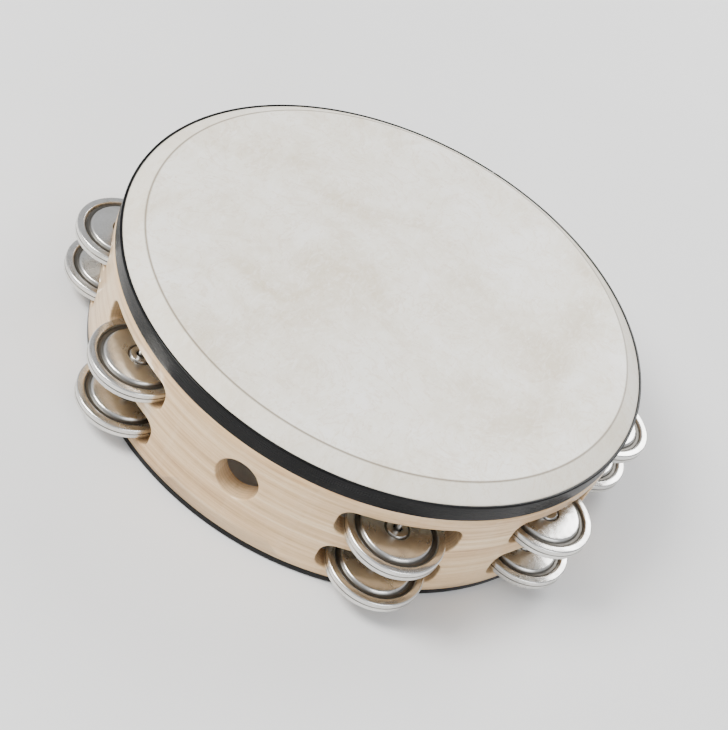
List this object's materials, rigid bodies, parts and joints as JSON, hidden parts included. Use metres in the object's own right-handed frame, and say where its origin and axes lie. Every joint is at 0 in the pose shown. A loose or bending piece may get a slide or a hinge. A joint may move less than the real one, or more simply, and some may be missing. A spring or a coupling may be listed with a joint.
{
  "type": "tambourine",
  "caption": "Round hand drum with a bent wooden shell, a skin head and two rows of paired metal jingles in slots.",
  "frame": {"origin": "centre of the bottom rim's face, on the shell's axis", "axes": "+Z along the shell's axis from the open bottom up to the head; -Y towards the finger hole"},
  "size_m": [0.278, 0.2707, 0.0665],
  "materials": {
    "shell_wood": "clear satin lacquer over bent maple plies",
    "black_binding": "polished black edge binding",
    "skin": "smooth translucent off-white skin",
    "black_band": "polished black edge band",
    "pin_steel": "drawn steel wire",
    "jingle_metal": "pressed and lightly hammered nickel-plated steel"
  },
  "bodies": {
    "drum": {"shell": "shell_wood", "bottom_binding": "black_binding", "head_skin": "skin", "trim_band": "black_band", "jingle_pin_1": "pin_steel", "jingle_pin_2": "pin_steel", "jingle_pin_3": "pin_steel", "jingle_pin_4": "pin_steel", "jingle_pin_5": "pin_steel", "jingle_pin_6": "pin_steel", "jingle_pin_7": "pin_steel", "jingle_pin_8": "pin_steel", "jingle_pin_9": "pin_steel"},
    "jingle_1_lower_bottom": {"jingle_1_lower_bottom": "jingle_metal"},
    "jingle_1_lower_top": {"jingle_1_lower_top": "jingle_metal"},
    "jingle_1_upper_bottom": {"jingle_1_upper_bottom": "jingle_metal"},
    "jingle_1_upper_top": {"jingle_1_upper_top": "jingle_metal"},
    "jingle_2_lower_bottom": {"jingle_2_lower_bottom": "jingle_metal"},
    "jingle_2_lower_top": {"jingle_2_lower_top": "jingle_metal"},
    "jingle_2_upper_bottom": {"jingle_2_upper_bottom": "jingle_metal"},
    "jingle_2_upper_top": {"jingle_2_upper_top": "jingle_metal"},
    "jingle_3_lower_bottom": {"jingle_3_lower_bottom": "jingle_metal"},
    "jingle_3_lower_top": {"jingle_3_lower_top": "jingle_metal"},
    "jingle_3_upper_bottom": {"jingle_3_upper_bottom": "jingle_metal"},
    "jingle_3_upper_top": {"jingle_3_upper_top": "jingle_metal"},
    "jingle_4_lower_bottom": {"jingle_4_lower_bottom": "jingle_metal"},
    "jingle_4_lower_top": {"jingle_4_lower_top": "jingle_metal"},
    "jingle_4_upper_bottom": {"jingle_4_upper_bottom": "jingle_metal"},
    "jingle_4_upper_top": {"jingle_4_upper_top": "jingle_metal"},
    "jingle_5_lower_bottom": {"jingle_5_lower_bottom": "jingle_metal"},
    "jingle_5_lower_top": {"jingle_5_lower_top": "jingle_metal"},
    "jingle_5_upper_bottom": {"jingle_5_upper_bottom": "jingle_metal"},
    "jingle_5_upper_top": {"jingle_5_upper_top": "jingle_metal"},
    "jingle_6_lower_bottom": {"jingle_6_lower_bottom": "jingle_metal"},
    "jingle_6_lower_top": {"jingle_6_lower_top": "jingle_metal"},
    "jingle_6_upper_bottom": {"jingle_6_upper_bottom": "jingle_metal"},
    "jingle_6_upper_top": {"jingle_6_upper_top": "jingle_metal"},
    "jingle_7_lower_bottom": {"jingle_7_lower_bottom": "jingle_metal"},
    "jingle_7_lower_top": {"jingle_7_lower_top": "jingle_metal"},
    "jingle_7_upper_bottom": {"jingle_7_upper_bottom": "jingle_metal"},
    "jingle_7_upper_top": {"jingle_7_upper_top": "jingle_metal"},
    "jingle_8_lower_bottom": {"jingle_8_lower_bottom": "jingle_metal"},
    "jingle_8_lower_top": {"jingle_8_lower_top": "jingle_metal"},
    "jingle_8_upper_bottom": {"jingle_8_upper_bottom": "jingle_metal"},
    "jingle_8_upper_top": {"jingle_8_upper_top": "jingle_metal"},
    "jingle_9_lower_bottom": {"jingle_9_lower_bottom": "jingle_metal"},
    "jingle_9_lower_top": {"jingle_9_lower_top": "jingle_metal"},
    "jingle_9_upper_bottom": {"jingle_9_upper_bottom": "jingle_metal"},
    "jingle_9_upper_top": {"jingle_9_upper_top": "jingle_metal"}
  },
  "joints": [
    {"name": "jingle_1_lower_bottom_slide", "type": "slide", "parent": "drum", "child": "jingle_1_lower_bottom", "axis": [0, 0, 1], "range_m": [0, 0.0037]},
    {"name": "jingle_1_lower_top_slide", "type": "slide", "parent": "jingle_1_lower_bottom", "child": "jingle_1_lower_top", "axis": [0, 0, 1], "range_m": [0, 0.0037]},
    {"name": "jingle_1_upper_bottom_slide", "type": "slide", "parent": "drum", "child": "jingle_1_upper_bottom", "axis": [0, 0, 1], "range_m": [0, 0.0037]},
    {"name": "jingle_1_upper_top_slide", "type": "slide", "parent": "jingle_1_upper_bottom", "child": "jingle_1_upper_top", "axis": [0, 0, 1], "range_m": [0, 0.0037]},
    {"name": "jingle_2_lower_bottom_slide", "type": "slide", "parent": "drum", "child": "jingle_2_lower_bottom", "axis": [0, 0, 1], "range_m": [0, 0.0037]},
    {"name": "jingle_2_lower_top_slide", "type": "slide", "parent": "jingle_2_lower_bottom", "child": "jingle_2_lower_top", "axis": [0, 0, 1], "range_m": [0, 0.0037]},
    {"name": "jingle_2_upper_bottom_slide", "type": "slide", "parent": "drum", "child": "jingle_2_upper_bottom", "axis": [0, 0, 1], "range_m": [0, 0.0037]},
    {"name": "jingle_2_upper_top_slide", "type": "slide", "parent": "jingle_2_upper_bottom", "child": "jingle_2_upper_top", "axis": [0, 0, 1], "range_m": [0, 0.0037]},
    {"name": "jingle_3_lower_bottom_slide", "type": "slide", "parent": "drum", "child": "jingle_3_lower_bottom", "axis": [0, 0, 1], "range_m": [0, 0.0037]},
    {"name": "jingle_3_lower_top_slide", "type": "slide", "parent": "jingle_3_lower_bottom", "child": "jingle_3_lower_top", "axis": [0, 0, 1], "range_m": [0, 0.0037]},
    {"name": "jingle_3_upper_bottom_slide", "type": "slide", "parent": "drum", "child": "jingle_3_upper_bottom", "axis": [0, 0, 1], "range_m": [0, 0.0037]},
    {"name": "jingle_3_upper_top_slide", "type": "slide", "parent": "jingle_3_upper_bottom", "child": "jingle_3_upper_top", "axis": [0, 0, 1], "range_m": [0, 0.0037]},
    {"name": "jingle_4_lower_bottom_slide", "type": "slide", "parent": "drum", "child": "jingle_4_lower_bottom", "axis": [0, 0, 1], "range_m": [0, 0.0037]},
    {"name": "jingle_4_lower_top_slide", "type": "slide", "parent": "jingle_4_lower_bottom", "child": "jingle_4_lower_top", "axis": [0, 0, 1], "range_m": [0, 0.0037]},
    {"name": "jingle_4_upper_bottom_slide", "type": "slide", "parent": "drum", "child": "jingle_4_upper_bottom", "axis": [0, 0, 1], "range_m": [0, 0.0037]},
    {"name": "jingle_4_upper_top_slide", "type": "slide", "parent": "jingle_4_upper_bottom", "child": "jingle_4_upper_top", "axis": [0, 0, 1], "range_m": [0, 0.0037]},
    {"name": "jingle_5_lower_bottom_slide", "type": "slide", "parent": "drum", "child": "jingle_5_lower_bottom", "axis": [0, 0, 1], "range_m": [0, 0.0037]},
    {"name": "jingle_5_lower_top_slide", "type": "slide", "parent": "jingle_5_lower_bottom", "child": "jingle_5_lower_top", "axis": [0, 0, 1], "range_m": [0, 0.0037]},
    {"name": "jingle_5_upper_bottom_slide", "type": "slide", "parent": "drum", "child": "jingle_5_upper_bottom", "axis": [0, 0, 1], "range_m": [0, 0.0037]},
    {"name": "jingle_5_upper_top_slide", "type": "slide", "parent": "jingle_5_upper_bottom", "child": "jingle_5_upper_top", "axis": [0, 0, 1], "range_m": [0, 0.0037]},
    {"name": "jingle_6_lower_bottom_slide", "type": "slide", "parent": "drum", "child": "jingle_6_lower_bottom", "axis": [0, 0, 1], "range_m": [0, 0.0037]},
    {"name": "jingle_6_lower_top_slide", "type": "slide", "parent": "jingle_6_lower_bottom", "child": "jingle_6_lower_top", "axis": [0, 0, 1], "range_m": [0, 0.0037]},
    {"name": "jingle_6_upper_bottom_slide", "type": "slide", "parent": "drum", "child": "jingle_6_upper_bottom", "axis": [0, 0, 1], "range_m": [0, 0.0037]},
    {"name": "jingle_6_upper_top_slide", "type": "slide", "parent": "jingle_6_upper_bottom", "child": "jingle_6_upper_top", "axis": [0, 0, 1], "range_m": [0, 0.0037]},
    {"name": "jingle_7_lower_bottom_slide", "type": "slide", "parent": "drum", "child": "jingle_7_lower_bottom", "axis": [0, 0, 1], "range_m": [0, 0.0037]},
    {"name": "jingle_7_lower_top_slide", "type": "slide", "parent": "jingle_7_lower_bottom", "child": "jingle_7_lower_top", "axis": [0, 0, 1], "range_m": [0, 0.0037]},
    {"name": "jingle_7_upper_bottom_slide", "type": "slide", "parent": "drum", "child": "jingle_7_upper_bottom", "axis": [0, 0, 1], "range_m": [0, 0.0037]},
    {"name": "jingle_7_upper_top_slide", "type": "slide", "parent": "jingle_7_upper_bottom", "child": "jingle_7_upper_top", "axis": [0, 0, 1], "range_m": [0, 0.0037]},
    {"name": "jingle_8_lower_bottom_slide", "type": "slide", "parent": "drum", "child": "jingle_8_lower_bottom", "axis": [0, 0, 1], "range_m": [0, 0.0037]},
    {"name": "jingle_8_lower_top_slide", "type": "slide", "parent": "jingle_8_lower_bottom", "child": "jingle_8_lower_top", "axis": [0, 0, 1], "range_m": [0, 0.0037]},
    {"name": "jingle_8_upper_bottom_slide", "type": "slide", "parent": "drum", "child": "jingle_8_upper_bottom", "axis": [0, 0, 1], "range_m": [0, 0.0037]},
    {"name": "jingle_8_upper_top_slide", "type": "slide", "parent": "jingle_8_upper_bottom", "child": "jingle_8_upper_top", "axis": [0, 0, 1], "range_m": [0, 0.0037]},
    {"name": "jingle_9_lower_bottom_slide", "type": "slide", "parent": "drum", "child": "jingle_9_lower_bottom", "axis": [0, 0, 1], "range_m": [0, 0.0037]},
    {"name": "jingle_9_lower_top_slide", "type": "slide", "parent": "jingle_9_lower_bottom", "child": "jingle_9_lower_top", "axis": [0, 0, 1], "range_m": [0, 0.0037]},
    {"name": "jingle_9_upper_bottom_slide", "type": "slide", "parent": "drum", "child": "jingle_9_upper_bottom", "axis": [0, 0, 1], "range_m": [0, 0.0037]},
    {"name": "jingle_9_upper_top_slide", "type": "slide", "parent": "jingle_9_upper_bottom", "child": "jingle_9_upper_top", "axis": [0, 0, 1], "range_m": [0, 0.0037]}
  ]
}
